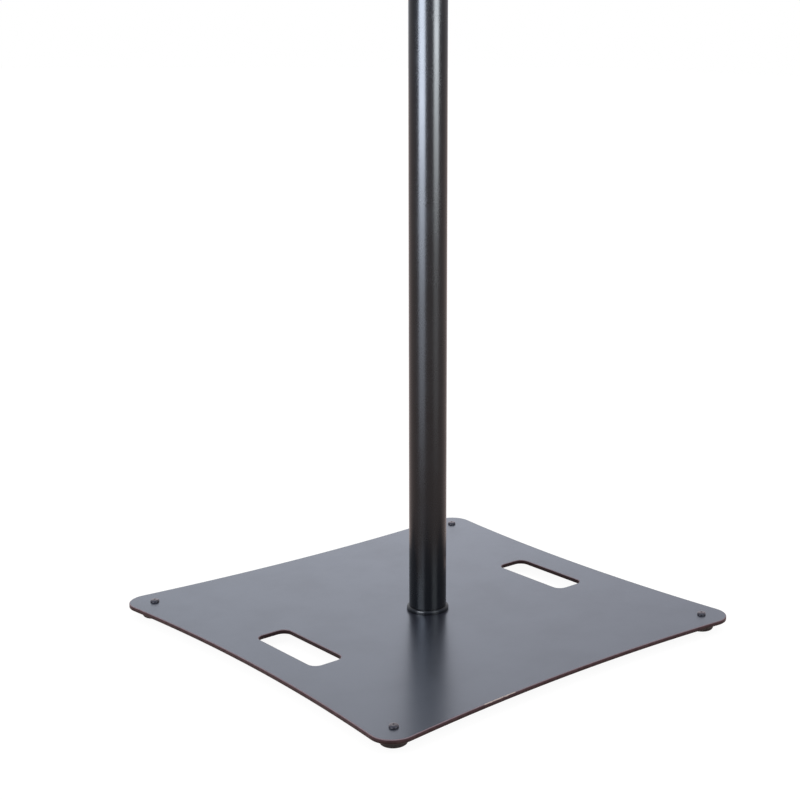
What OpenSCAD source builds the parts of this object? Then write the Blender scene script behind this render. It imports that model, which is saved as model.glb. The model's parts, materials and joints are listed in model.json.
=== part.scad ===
// Light stand: a square steel base with bowed-in sides, an upright tube and a sliding mast.
// Millimetres, +Z up, origin on the floor under the tube. The knobs face -Y.
// The hand slots lie near the -X and +X sides, with their length along Y.

/* [Base plate] */
// Side of the square through the four corner points
base_side = 610; // [520:5:720]
// Depth by which each side bows inward at its middle
side_bow = 17.5; // [8:0.5:26]
// Radius of the rounded corners
corner_r = 30; // [16:1:44]
// Thickness of the steel plate
base_t = 6; // [5.5:0.5:10]

/* [Hand slots] */
// Length of each hand slot
slot_len = 132; // [100:1:160]
// Width of each hand slot
slot_w = 47; // [36:1:60]
// Radius of the slot's corners
slot_r = 12; // [6:1:17]
// Steel left between a slot and the middle of its side
slot_margin = 51; // [36:0.5:80]

/* [Feet] */
// Distance of a foot's screw from both sides of the square
foot_inset = 37; // [34:1:60]
// Height of a rubber foot
foot_h = 14; // [12:0.5:22]
// Diameter of a foot under the plate
foot_top_d = 36; // [28:0.5:42]
// Diameter of a foot on the floor
foot_tip_d = 33; // [24:0.5:38]
// Rubber between the plate and the washer
foot_web = 4; // [3:0.5:5]
// Diameter of the recess for the washer and the nut
foot_recess_d = 13.4; // [12.6:0.2:14]
// Rounding of the foot's lower edge
foot_round = 3; // [0.5:0.1:4]

/* [Foot screws] */
// Thread diameter of the foot screws
foot_screw_d = 6; // [5:0.5:6.5]
// Head diameter of the foot screws
foot_head_d = 12; // [10:0.5:14]
// Head height of the foot screws
foot_head_h = 3.4; // [2.8:0.1:4]
// Straight rim under the dome of the head
foot_head_rim = 1.1; // [0.6:0.1:1.5]
// Arm length of the cross recess
cross_len = 5.4; // [4:0.2:6.4]
// Arm width of the cross recess
cross_w = 1.2; // [0.8:0.1:1.6]
// Depth of the cross recess
cross_depth = 1.9; // [1:0.1:2.2]
// Outer diameter of the washers
washer_d = 12; // [11:0.1:12.4]
// Thickness of the washers
washer_t = 1.2; // [0.8:0.1:1.6]
// Width across the flats of the nuts
nut_flats = 10; // [9:0.1:10.5]
// Height of the nuts
nut_h = 5; // [4:0.1:5.2]

/* [Tube foot] */
// How far the ring stands out round the tube
ring_out = 3.35; // [2:0.05:8]
// Height of the ring
ring_h = 6; // [4:0.5:12]
// Rounding of the ring's shoulder
ring_round = 3.2; // [0.6:0.1:3.3]
// Length of the plug inside the tube
plug_len = 60; // [45:1:100]
// Bore that lightens the plug
plug_bore_d = 24; // [10:0.5:26]
// Lead-in at the top of the plug
plug_lead = 2; // [0.5:0.5:3]

/* [Tube foot screws] */
// Thread diameter of the screws
plug_screw_d = 8; // [6:0.5:8]
// Head diameter of the countersunk screws
plug_head_d = 15.8; // [13:0.1:16.4]
// Length of the screws with their heads
plug_screw_len = 30; // [24:1:34]
// Width across the flats of the hexagon socket
plug_hex = 5; // [4:0.5:5.5]

/* [Lower tube] */
// Outer diameter of the lower tube
lower_d = 50.8; // [50:0.1:54]
// Wall of the lower tube
lower_wall = 2; // [1.5:0.1:2.4]
// Length of the lower tube
lower_len = 1080; // [1000:10:1400]

/* [Upper tube] */
// Radial room between the two tubes, which the glide bush fills
tube_room = 1.175; // [0.8:0.025:2.5]
// Wall of the upper tube
upper_wall = 2; // [1.5:0.1:3]
// Room between the lowered glide bush and the plug of the tube foot
low_room = 65; // [10:5:200]
// Length of tube that stays inside at full height
overlap = 150; // [80:5:150]
// Thickness of the closed end of the glide bush
glide_end = 4; // [2:0.5:8]
// Length of the glide bush's plug inside the upper tube
glide_plug = 24; // [16:1:40]
// Diameter of the pins through the glide bush
pin_d = 4; // [3:0.5:6]
// Height of the pins above the end of the tube
pin_up = 12; // [8:1:14]

/* [Locking collar] */
// Length of the collar on the lower tube
collar_grip = 46; // [38:1:80]
// Wall of the collar's lower part, round the lower tube
collar_wall = 5.1; // [4:0.1:7]
// Wall of the collar's head, over the lower tube's face
collar_head_wall = 7.6; // [7.2:0.1:14]
// Height of the cone between the two
collar_cone = 8; // [4:1:10]
// Lip over the guide bush
collar_lip = 4; // [3:0.5:8]
// Rounding of the collar's top edge
collar_round = 3; // [1:0.5:3.5]
// Chamfer of the collar's lower edge
collar_chamfer = 1.5; // [0.5:0.1:2]
// Height of the guide bush
bush_h = 30; // [26:1:44]
// Wall of the guide bush
bush_wall = 2.7; // [2:0.1:3]
// Diameter of the boss that takes the clamping screw
boss_d = 28; // [24:1:30]
// How far the boss stands out of the collar
boss_proud = 13; // [8:0.5:20]
// Thread diameter of the collar's set screws
set_d = 6; // [4:0.5:8]
// Width across the flats of their hexagon sockets
set_hex = 3; // [2:0.5:3.5]
// Height of the set screws above the collar's lower end
set_up = 18; // [10:1:26]
// Number of set screws
set_count = 3; // [2:1:4]

/* [Clamping screws] */
// Thread diameter of the studs
stud_d = 10; // [8:0.5:11]
// Thread pitch
pitch = 1.5; // [1:0.25:2]
// Turns between open and tight
turns = 2; // [1:0.5:2]
// Diameter of the stud's smooth tip
tip_d = 6; // [4:0.5:7]
// Length of the tip
tip_len = 3.5; // [2:0.5:4]
// Length of stud moulded into the knob
stud_embed = 17; // [10:1:19]
// Gap between a tight knob and its boss
knob_gap = 1.5; // [1:0.1:4]
// Diameter of the brake shoe
shoe_d = 16; // [12:0.5:18]
// Length of the brake shoe on its axis
shoe_len = 8; // [6:0.5:8.5]
// Diameter of the pad in the head socket
pad_d = 12; // [9:0.5:13]
// Length of the pad
pad_len = 6; // [5:0.5:6.5]

/* [Knobs] */
// Diameter over the lobes
knob_d = 50; // [44:1:60]
// Number of lobes
knob_lobes = 5; // [4:1:7]
// Radius of a lobe's tip
lobe_r = 7.5; // [6:0.5:8]
// Radius of the hollow between two lobes
hollow_r = 9; // [8:0.5:14]
// Height of the lobed head
knob_h = 16; // [12:1:24]
// Rounding of the head's edges
knob_round = 4; // [2:0.5:5]
// Diameter of the recess in the knob's face
face_d = 22; // [12:1:26]
// Depth of the recess in the knob's face
face_depth = 0.8; // [0.4:0.1:1.5]
// Diameter of the hub
hub_d = 24; // [20:1:28]
// Length of the hub below the lobed head
hub_h = 8; // [5:0.5:12]

/* [Head socket] */
// Bore for a light's spigot
socket_d = 29; // [28.6:0.1:31]
// Depth of the bore
socket_depth = 80; // [60:1:110]
// Metal under the bore
socket_floor = 6; // [4:0.5:12]
// Wall of the barrel round the bore
barrel_wall = 8.5; // [6.5:0.1:10]
// Wall of the skirt round the upper tube
skirt_wall = 5.8; // [5:0.1:9]
// Depth of the skirt on the upper tube
skirt_depth = 30; // [26:1:50]
// Height of the cone between skirt and barrel
head_cone = 9; // [5:0.5:14]
// Height of the rim round the mouth
mouth_rim_h = 7; // [4:0.5:10]
// How far the rim stands out of the barrel
mouth_rim = 2; // [1:0.5:4]
// Chamfer at the mouth
mouth_chamfer = 1.5; // [0.5:0.1:2]
// Height of the clamping screw above the floor of the bore
head_screw_up = 40; // [30:1:46]
// Diameter of the head's boss
head_boss_d = 25; // [22:0.5:28]
// How far the head's boss stands out of the barrel
head_boss_proud = 13; // [8:0.5:20]
// Shank diameter of the rivets
rivet_d = 4.8; // [4:0.1:6]
// Head diameter of the rivets
rivet_head_d = 9.6; // [8:0.1:11]
// Head height of the rivets
rivet_head_h = 1.6; // [1:0.1:2.2]
// Height of the rivets above the skirt's lower edge
rivet_up = 14; // [10:1:18]
// Number of rivets
rivet_count = 3; // [2:1:4]

/* [Clearances] */
// Radial gap of pieces that are pressed or screwed together
fit_gap = 0.05; // [0.02:0.01:0.1]
// Radial gap of pieces that slide or turn in each other
run_gap = 0.08; // [0.05:0.01:0.1]
// Gap between a moving piece and the seat that it rests on
rest_gap = 0.3; // [0.2:0.05:0.5]
// Radial gap of a screw in its clearance hole
hole_gap = 0.3; // [0.1:0.05:0.5]

/* [Hidden] */
// The bowed sides are arcs, and the corners are arcs tangent to them
half = base_side / 2;
bow_r = (half * half + side_bow * side_bow) / (2 * side_bow);
bow_centre = half - side_bow + bow_r;
corner_reach = bow_r + corner_r;
corner_at = (bow_centre - sqrt(2 * corner_reach * corner_reach - bow_centre * bow_centre)) / 2;
corner_near = corner_at - corner_r * corner_at / corner_reach;
corner_far = corner_at + corner_r * (bow_centre - corner_at) / corner_reach;
slot_x = half - side_bow - slot_margin - slot_w / 2;
foot_x = half - foot_inset;

// Diameters that follow the tube that a piece sits on
upper_d = lower_d - 2 * lower_wall - 2 * tube_room;
ring_d = lower_d + 2 * ring_out;
collar_d = lower_d + 2 * collar_wall;
collar_head_d = lower_d + 2 * collar_head_wall;
bush_d = upper_d + 2 * run_gap + 2 * bush_wall;
skirt_d = upper_d + 2 * skirt_wall;
barrel_d = socket_d + 2 * barrel_wall;

// Heights, from the floor up
plate_top = foot_h + base_t;
tube_base = plate_top + ring_h;
tube_top = tube_base + lower_len;
bush_mid = tube_top + bush_h / 2;
collar_top = tube_top + bush_h + collar_lip;
collar_low = tube_top - collar_grip;
head_low = collar_top + rest_gap;
upper_top = head_low + skirt_depth;
bore_floor = upper_top + socket_floor;
head_top = bore_floor + socket_depth;
head_screw_z = bore_floor + head_screw_up;
washer_low = foot_h - foot_web - washer_t;
nut_low = washer_low - nut_h;

// The mast can rise until glide_top nears tube_top, which leaves the overlap inside
upper_low = tube_base + plug_len + low_room + glide_end;
glide_top = upper_low + overlap;

// Radii that pieces share
lower_in_r = lower_d / 2 - lower_wall;
upper_in_r = upper_d / 2 - upper_wall;
glide_r = lower_in_r - run_gap;
plug_r = lower_in_r - fit_gap;
plug_screw_at = (plug_r + plug_bore_d / 2) / 2;
screw_move = pitch * turns;

// Distances from the mast's axis along the collar's clamping screw
shoe_face = upper_d / 2 + rest_gap;
shoe_back = shoe_face + shoe_len;
shoe_room = shoe_back + screw_move + rest_gap;
boss_face = collar_head_d / 2 + boss_proud;
collar_hub = boss_face + knob_gap;

// Distances from the mast's axis along the head's clamping screw
pad_face = socket_d / 2 + rest_gap;
pad_back = pad_face + pad_len;
pad_room = pad_back + rest_gap;
head_boss_face = barrel_d / 2 + head_boss_proud;
head_hub = head_boss_face + knob_gap + screw_move;

// Countersink angle of 90 degrees makes the head as deep as it is wide on each side
plug_head_h = (plug_head_d - plug_screw_d) / 2;
eps = 0.01;
$fn = 96;
bow_fn = 720;

// Shared shapes

// Puts its children at the four corners of a square
module at_corners(x) {
  for (sx = [-1, 1], sy = [-1, 1])
    translate([sx * x, sy * x, 0]) children();
}

// Turns its children to face -Y at height z: their Z becomes the distance from the axis
module facing_front(z) {
  translate([0, 0, z]) rotate([90, 0, 0]) children();
}

// Puts its children round the axis at height z, facing outwards, the first one facing +Y
module around(count, z) {
  for (i = [0 : count - 1])
    rotate([0, 0, i * 360 / count]) translate([0, 0, z]) rotate([-90, 0, 0]) children();
}

// Round bar or hole between two heights
module bar(r, z0, z1) {
  translate([0, 0, z0]) cylinder(r = r, h = z1 - z0);
}

// Round pipe between two heights
module pipe(r_out, r_in, z0, z1) {
  difference() {
    bar(r_out, z0, z1);
    bar(r_in, z0 - 1, z1 + 1);
  }
}

// Half of a round piece with a rounded outer shoulder, for turning about the axis.
// The circle is cut off at the base, for a rounding of more than half the height.
module shoulder_profile(r, h, round) {
  square([r - round, h]);
  square([r, h - round]);
  intersection() {
    translate([r - round, h - round]) circle(r = round);
    square([r + 1, h + 1]);
  }
}

// Domed head that stands on z = 0 with a straight rim
module domed_head(d, h, rim) {
  rise = h - rim;
  dome_r = (d * d / 4 + rise * rise) / (2 * rise);
  rotate_extrude() intersection() {
    square([d / 2, h]);
    translate([0, h - dome_r]) circle(r = dome_r, $fn = 180);
  }
}

// Rounded rectangle from squares and circles, centred
module rounded_slot(w, l, r) {
  square([w - 2 * r, l], center = true);
  square([w, l - 2 * r], center = true);
  for (sx = [-1, 1], sy = [-1, 1])
    translate([sx * (w / 2 - r), sy * (l / 2 - r)]) circle(r = r);
}

// Base plate

// Square with four sides that bow inward and corners rounded tangent to them
module plate_outline() {
  difference() {
    square(base_side, center = true);
    for (i = [0 : 3])
      rotate(i * 90) translate([bow_centre, 0]) circle(r = bow_r, $fn = bow_fn);
    for (i = [0 : 3])
      rotate(i * 90) polygon([
        [corner_far, corner_near], [half + 1, corner_near], [half + 1, half + 1],
        [corner_near, half + 1], [corner_near, corner_far]
      ]);
  }
  for (i = [0 : 3])
    rotate(i * 90) translate([corner_at, corner_at]) circle(r = corner_r);
}

module base_plate() {
  color([0.16, 0.16, 0.18]) difference() {
    translate([0, 0, foot_h]) linear_extrude(base_t) difference() {
      plate_outline();
      for (s = [-1, 1])
        translate([s * slot_x, 0]) rounded_slot(slot_w, slot_len, slot_r);
    }
    at_corners(foot_x) bar(foot_screw_d / 2 + hole_gap, foot_h - 1, plate_top + 1);
    plug_screws_at() {
      bar(plug_screw_d / 2 + hole_gap, foot_h - 1, plate_top + 1);
      countersink(hole_gap / 2);
    }
  }
}

// Feet and their fasteners

module rubber_foot(sx, sy) {
  color([0.07, 0.07, 0.07]) translate([sx * foot_x, sy * foot_x, 0]) difference() {
    rotate_extrude() foot_profile();
    bar(foot_recess_d / 2, -1, foot_h - foot_web);
    bar(foot_screw_d / 2 + fit_gap, 0, foot_h + 1);
  }
}

// Tapered side with a rounded edge on the floor
module foot_profile() {
  slope = (foot_top_d - foot_tip_d) / 2 / foot_h;
  polygon([
    [0, 0], [foot_tip_d / 2 - foot_round, 0], [foot_tip_d / 2 + slope * foot_round, foot_round],
    [foot_top_d / 2, foot_h], [0, foot_h]
  ]);
  translate([foot_tip_d / 2 - foot_round, foot_round]) circle(r = foot_round);
}

module foot_front_left() {
  rubber_foot(-1, -1);
}

module foot_front_right() {
  rubber_foot(1, -1);
}

module foot_rear_left() {
  rubber_foot(-1, 1);
}

module foot_rear_right() {
  rubber_foot(1, 1);
}

// Pan-head screws with a cross recess, each as long as the stack that it holds
module foot_screws() {
  color([0.2, 0.2, 0.2]) at_corners(foot_x) {
    difference() {
      translate([0, 0, plate_top]) domed_head(foot_head_d, foot_head_h, foot_head_rim);
      translate([0, 0, plate_top + foot_head_h]) for (turn = [45, 135])
        rotate(turn) cube([cross_len, cross_w, 2 * cross_depth], center = true);
    }
    bar(foot_screw_d / 2, nut_low, plate_top + eps);
  }
}

module foot_washers() {
  color([0.6, 0.6, 0.62]) at_corners(foot_x)
    pipe(washer_d / 2, foot_screw_d / 2 + hole_gap, washer_low, foot_h - foot_web);
}

module foot_nuts() {
  color([0.6, 0.6, 0.62]) at_corners(foot_x) translate([0, 0, nut_low]) difference() {
    cylinder(d = nut_flats / cos(30), h = nut_h, $fn = 6);
    bar(foot_screw_d / 2 + fit_gap, -1, nut_h + 1);
  }
}

// Tube foot: a plug with a ring, screwed down from under the plate

module plug_screws_at() {
  for (i = [0 : 3])
    rotate(45 + i * 90) translate([plug_screw_at, 0, 0]) children();
}

// Countersunk head shape at the underside of the plate, grown by a gap
module countersink(gap) {
  translate([0, 0, foot_h - eps])
    cylinder(d1 = plug_head_d + 2 * gap, d2 = plug_screw_d + 2 * gap, h = plug_head_h);
}

module tube_foot() {
  color([0.13, 0.13, 0.15]) difference() {
    union() {
      translate([0, 0, plate_top]) rotate_extrude() shoulder_profile(ring_d / 2, ring_h, ring_round);
      bar(plug_r, plate_top + 1, tube_base + plug_len - plug_lead);
      translate([0, 0, tube_base + plug_len - plug_lead - eps])
        cylinder(r1 = plug_r, r2 = plug_r - plug_lead, h = plug_lead);
    }
    bar(plug_bore_d / 2, tube_base, tube_base + plug_len + 1);
    plug_screws_at() bar(plug_screw_d / 2 + fit_gap, plate_top - 1, foot_h + plug_screw_len + 3);
  }
}

module tube_foot_screws() {
  color([0.3, 0.3, 0.32]) plug_screws_at() difference() {
    union() {
      translate([0, 0, foot_h]) cylinder(d1 = plug_head_d, d2 = plug_screw_d, h = plug_head_h);
      bar(plug_screw_d / 2, foot_h + plug_head_h - eps, foot_h + plug_screw_len);
    }
    translate([0, 0, foot_h - 1]) cylinder(d = plug_hex / cos(30), h = plug_head_h, $fn = 6);
  }
}

module lower_tube() {
  color([0.13, 0.13, 0.15]) pipe(lower_d / 2, lower_in_r, tube_base, tube_top);
}

// Locking collar on top of the lower tube

// Outline of the turned collar: a sleeve, a cone and a wider head with a rounded top
module collar_profile() {
  polygon([
    [0, collar_low], [collar_d / 2 - collar_chamfer, collar_low],
    [collar_d / 2, collar_low + collar_chamfer], [collar_d / 2, tube_top - collar_cone],
    [collar_head_d / 2, tube_top], [collar_head_d / 2, tube_top + eps], [0, tube_top + eps]
  ]);
  translate([0, tube_top])
    shoulder_profile(collar_head_d / 2, bush_h + collar_lip, collar_round);
}

module locking_collar() {
  color([0.12, 0.12, 0.13]) difference() {
    union() {
      rotate_extrude() collar_profile();
      facing_front(bush_mid) bar(boss_d / 2, lower_d / 2 + 1, boss_face);
    }
    bar(lower_d / 2 + fit_gap, collar_low - 1, tube_top);
    bar(bush_d / 2 + fit_gap, tube_top - eps, tube_top + bush_h);
    bar(upper_d / 2 + 2 * rest_gap, tube_top, collar_top + 1);
    facing_front(bush_mid) {
      bar(shoe_d / 2 + run_gap, 0, shoe_room);
      bar(stud_d / 2 + run_gap, 0, boss_face + 1);
    }
    around(set_count, collar_low + set_up) bar(set_d / 2 + fit_gap, 0, collar_d);
  }
}

// Headless screws, flush with the collar and bearing on the tube
module collar_set_screws() {
  color([0.3, 0.3, 0.32]) around(set_count, collar_low + set_up) difference() {
    bar(set_d / 2, lower_d / 2 + fit_gap, collar_d / 2 - fit_gap);
    translate([0, 0, (lower_d + collar_d) / 4]) cylinder(d = set_hex / cos(30), h = set_d, $fn = 6);
  }
}

// Plain bearing of the upper tube, held between the tube's end and the collar's lip
module guide_bush() {
  color([0.85, 0.85, 0.8]) difference() {
    pipe(bush_d / 2, upper_d / 2 + run_gap, tube_top, tube_top + bush_h);
    facing_front(bush_mid) bar(shoe_d / 2 + run_gap, 0, bush_d);
  }
}

// Clamping screws

// Shoe with a hollow face that fits the upper tube
module brake_shoe() {
  face_r = upper_d / 2 + rest_gap;
  start = sqrt(face_r * face_r - shoe_d * shoe_d / 4) - 1;
  color([0.75, 0.6, 0.3]) difference() {
    facing_front(bush_mid) difference() {
      bar(shoe_d / 2, start, shoe_back);
      bar(tip_d / 2 + run_gap, shoe_back - tip_len, shoe_back + 1);
    }
    bar(face_r, bush_mid - shoe_d, bush_mid + shoe_d);
  }
}

// Stud with a smooth tip that turns in its shoe or pad, and an end moulded into the knob
module clamp_stud(back, hub) {
  bar(tip_d / 2, back - tip_len + rest_gap, back + eps);
  bar(stud_d / 2, back, hub + stud_embed);
}

module collar_stud() {
  color([0.62, 0.62, 0.64]) facing_front(bush_mid) clamp_stud(shoe_back, collar_hub);
}

// Outline of the knob: lobes and hollows are arcs that touch on the lines between their centres
module lobed_outline() {
  step = 180 / knob_lobes;
  lobe_at = knob_d / 2 - lobe_r;
  reach = lobe_r + hollow_r;
  hollow_at = lobe_at * cos(step) + sqrt(reach * reach - pow(lobe_at * sin(step), 2));
  difference() {
    union() {
      polygon([for (i = [0 : 2 * knob_lobes - 1])
        (i % 2 == 0 ? lobe_at : hollow_at) * [cos(i * step), sin(i * step)]]);
      for (i = [0 : knob_lobes - 1])
        rotate(2 * i * step) translate([lobe_at, 0]) circle(r = lobe_r);
    }
    for (i = [0 : knob_lobes - 1])
      rotate((2 * i + 1) * step) translate([hollow_at, 0]) circle(r = hollow_r);
  }
}

// Round body of the knob's head with rounded edges, before the hollows are cut
module knob_blank() {
  rim_at = knob_d / 2 - knob_round;
  rotate_extrude() {
    translate([0, knob_round]) shoulder_profile(knob_d / 2, knob_h - knob_round, knob_round);
    square([rim_at, knob_h / 2]);
    translate([rim_at, knob_round]) circle(r = knob_round);
  }
}

// Knob that stands on its hub at z = 0, with a shallow recess in its face
module lobed_knob() {
  difference() {
    union() {
      cylinder(d = hub_d, h = hub_h + knob_round);
      translate([0, 0, hub_h]) intersection() {
        linear_extrude(knob_h) lobed_outline();
        knob_blank();
      }
    }
    bar(stud_d / 2 + fit_gap, -1, stud_embed);
    bar(face_d / 2, hub_h + knob_h - face_depth, hub_h + knob_h + 1);
  }
}

module collar_knob() {
  color([0.08, 0.08, 0.08]) facing_front(bush_mid) translate([0, 0, collar_hub]) lobed_knob();
}

// Mast

module upper_tube() {
  color([0.13, 0.13, 0.15]) difference() {
    pipe(upper_d / 2, upper_in_r, upper_low, upper_top);
    around(2, upper_low + pin_up) bar(pin_d / 2 + fit_gap, 0, upper_d);
    around(rivet_count, head_low + rivet_up) bar(rivet_d / 2 + fit_gap, 0, upper_d);
  }
}

// Sleeve round the lower end of the upper tube, with a closed end and a plug inside it
module glide_bush() {
  color([0.85, 0.85, 0.8]) difference() {
    bar(glide_r, upper_low - glide_end, glide_top);
    pipe(upper_d / 2 + fit_gap, upper_in_r - fit_gap, upper_low, glide_top + 1);
    bar(upper_in_r, upper_low + glide_plug, glide_top + 1);
    around(2, upper_low + pin_up) bar(pin_d / 2 + fit_gap, 0, upper_d);
  }
}

// Pins through the sleeve, the tube and its plug, just under the sleeve's face
module glide_pins() {
  color([0.6, 0.6, 0.62]) around(2, upper_low + pin_up)
    bar(pin_d / 2, upper_in_r - pin_d, glide_r - rest_gap / 2);
}

// Head socket: a skirt on the upper tube, a cone, and a barrel for the light's spigot

module head_profile() {
  skirt_r = skirt_d / 2;
  barrel_r = barrel_d / 2;
  rim_r = barrel_r + mouth_rim;
  polygon([
    [0, head_low], [skirt_r - 1, head_low], [skirt_r, head_low + 1], [skirt_r, upper_top],
    [barrel_r, upper_top + head_cone], [barrel_r, head_top - mouth_rim_h - mouth_rim],
    [rim_r, head_top - mouth_rim_h], [rim_r, head_top - 1], [rim_r - 1, head_top], [0, head_top]
  ]);
}

module head_socket() {
  spot = skirt_d / 2 - rivet_head_h / 2;
  color([0.12, 0.12, 0.13]) difference() {
    union() {
      rotate_extrude() head_profile();
      facing_front(head_screw_z) bar(head_boss_d / 2, socket_d / 2 + 1, head_boss_face);
    }
    bar(upper_d / 2 + fit_gap, head_low - 1, upper_top);
    bar(socket_d / 2, bore_floor, head_top + 1);
    translate([0, 0, head_top - mouth_chamfer + eps])
      cylinder(d1 = socket_d, d2 = socket_d + 2 * mouth_chamfer, h = mouth_chamfer);
    facing_front(head_screw_z) {
      bar(pad_d / 2 + run_gap, 0, pad_room);
      bar(stud_d / 2 + run_gap, 0, head_boss_face + 1);
    }
    around(rivet_count, head_low + rivet_up) {
      bar(rivet_d / 2 + fit_gap, 0, skirt_d);
      bar(rivet_head_d / 2 + hole_gap, spot, skirt_d);
    }
  }
}

// Blind rivets with domed heads in spot faces
module head_rivets() {
  spot = skirt_d / 2 - rivet_head_h / 2;
  color([0.6, 0.6, 0.62]) around(rivet_count, head_low + rivet_up) {
    translate([0, 0, spot]) domed_head(rivet_head_d, rivet_head_h, rivet_head_h / 4);
    bar(rivet_d / 2, upper_in_r - 1, spot + eps);
  }
}

module head_pad() {
  color([0.75, 0.6, 0.3]) facing_front(head_screw_z) difference() {
    bar(pad_d / 2, pad_face, pad_back);
    bar(tip_d / 2 + run_gap, pad_back - tip_len, pad_back + 1);
  }
}

module head_stud() {
  color([0.62, 0.62, 0.64]) facing_front(head_screw_z) clamp_stud(pad_back, head_hub);
}

module head_knob() {
  color([0.08, 0.08, 0.08]) facing_front(head_screw_z) translate([0, 0, head_hub]) lobed_knob();
}

base_plate();
foot_front_left();
foot_front_right();
foot_rear_left();
foot_rear_right();
foot_screws();
foot_washers();
foot_nuts();
tube_foot();
tube_foot_screws();
lower_tube();
locking_collar();
collar_set_screws();
guide_bush();
brake_shoe();
collar_stud();
collar_knob();
upper_tube();
glide_bush();
glide_pins();
head_socket();
head_rivets();
head_pad();
head_stud();
head_knob();
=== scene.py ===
"""Light stand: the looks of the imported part, made around its frame.

Pieces are shaped in millimetres, in the part's own frame, and become metres when they are finished.
The knobs face -Y, and the hand slots lie near the -X and +X sides.
"""
import json
import math

import bmesh
import bpy
from mathutils import Matrix, Vector

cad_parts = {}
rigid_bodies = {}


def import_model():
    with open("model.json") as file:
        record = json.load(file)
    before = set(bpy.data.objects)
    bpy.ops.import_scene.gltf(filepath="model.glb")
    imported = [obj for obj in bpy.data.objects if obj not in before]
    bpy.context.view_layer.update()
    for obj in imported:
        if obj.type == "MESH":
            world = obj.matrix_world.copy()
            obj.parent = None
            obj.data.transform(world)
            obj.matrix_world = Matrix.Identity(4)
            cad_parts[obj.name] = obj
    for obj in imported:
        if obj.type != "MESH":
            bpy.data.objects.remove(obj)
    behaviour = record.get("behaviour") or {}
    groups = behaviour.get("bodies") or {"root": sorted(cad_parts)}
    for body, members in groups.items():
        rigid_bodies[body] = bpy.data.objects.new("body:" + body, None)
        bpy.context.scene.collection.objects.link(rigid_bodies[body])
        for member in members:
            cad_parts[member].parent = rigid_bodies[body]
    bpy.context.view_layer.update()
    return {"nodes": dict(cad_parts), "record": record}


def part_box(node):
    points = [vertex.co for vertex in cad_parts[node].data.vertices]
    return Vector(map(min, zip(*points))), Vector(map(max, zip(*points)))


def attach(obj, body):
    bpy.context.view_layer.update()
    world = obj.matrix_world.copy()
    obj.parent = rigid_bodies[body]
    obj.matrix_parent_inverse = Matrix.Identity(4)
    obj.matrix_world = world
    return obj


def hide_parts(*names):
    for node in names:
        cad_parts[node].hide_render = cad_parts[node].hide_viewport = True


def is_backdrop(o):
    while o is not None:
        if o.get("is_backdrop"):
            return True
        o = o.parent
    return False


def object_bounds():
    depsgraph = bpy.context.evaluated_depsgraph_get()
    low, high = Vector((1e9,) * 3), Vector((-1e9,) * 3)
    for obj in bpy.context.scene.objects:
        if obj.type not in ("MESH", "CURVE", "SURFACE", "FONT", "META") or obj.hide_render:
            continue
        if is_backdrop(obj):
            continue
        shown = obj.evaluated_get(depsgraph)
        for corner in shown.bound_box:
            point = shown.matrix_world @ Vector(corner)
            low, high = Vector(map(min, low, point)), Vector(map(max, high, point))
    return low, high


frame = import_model()

# Units, directions and small amounts. A cutter reaches PAST what it cuts.
MM = 0.001
CLOSE, JOIN, PAST = 0.0005, 0.02, 1.0
Z = Vector((0, 0, 1))
ORIGIN = Vector((0, 0, 0))
FULL_TURN = math.tau
QUARTERS = 4
WHITE = (1, 1, 1, 1)
SHARP_ANGLE = math.radians(32)

# Base plate
HALF = 305.0
SIDE_BOW = 17.5
CORNER_R = 30.0
PLATE_LOW, PLATE_TOP = 14.0, 20.0
PLATE_EDGE = 1.2
CORNER_STEPS, BOW_STEPS = 16, 40
SLOT_X, SLOT_W, SLOT_L, SLOT_R = 213.0, 47.0, 132.0, 12.0
SCREW_AT, SCREW_HOLE_R = 268.0, 3.3
WORN_SPOT, WORN_REACH = (-124, -290.4, 20), 34
SLOTS_REACH = 300
PLUG_SCREW_AT = 17.675
SINK_R, SINK_NECK_R, SINK_DEPTH = 9.05, 4.3, 3.75

# Feet, and the screws over them
FOOT_R, FOOT_FLOOR_R, FOOT_BORE_R = 18.0, 16.4, 3.05
RECESS_R, RECESS_TOP = 6.7, 10.0
GROOVE_R, GROOVE_LOW, GROOVE_Z, GROOVE_TOP = 16.75, 6.2, 7.0, 7.8
LIP_LOW, LIP_Z = 11.6, 12.2
SHANK_R, SHANK_LOW = 3.0, 3.8
PAN_R, PAN_H = 6.0, 3.4
CROSS_L, CROSS_W, CROSS_H, CROSS_TAPER = 5.4, 1.2, 3.8, 0.55

# Tube foot
RING_R, RING_TOP = 28.75, 26.0
SEAT_R, SEAT_Z = 25.6, 25.5
PLUG_R, PLUG_TOP, PLUG_CHAMFER, PLUG_BORE_R = 23.35, 86.0, 2.0, 12.0

# Tubes
LOWER_R, LOWER_WALL = 25.4, 2.0
LOWER_LOW, LOWER_TOP = 26.0, 1106.0
UPPER_R, UPPER_WALL = 22.225, 2.0
UPPER_LOW, UPPER_TOP = 155.0, 1170.3
TUBE_EDGE = 0.5

# Collar
COLLAR_LOW, COLLAR_TOP = 1060.0, 1140.0
COLLAR_R, COLLAR_HEAD_R, COLLAR_CONE_LOW = 30.5, 33.0, 1098.0
COLLAR_BORE_R, COLLAR_MOUTH_R = 25.45, 22.825
BUSH_SEAT_R, BUSH_SEAT_TOP = 25.055, 1136.0
BAND_LOW, BAND_TOP, BAND_DEPTH = 1089.0, 1092.0, 0.7
COLLAR_BOSS_R, COLLAR_BLEND = 14.0, 0.8
COLLAR_SCREW_Z = 1121.0
COLLAR_FACE, COLLAR_HUB, SHOE_BACK = 46.0, 47.5, 30.525

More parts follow.
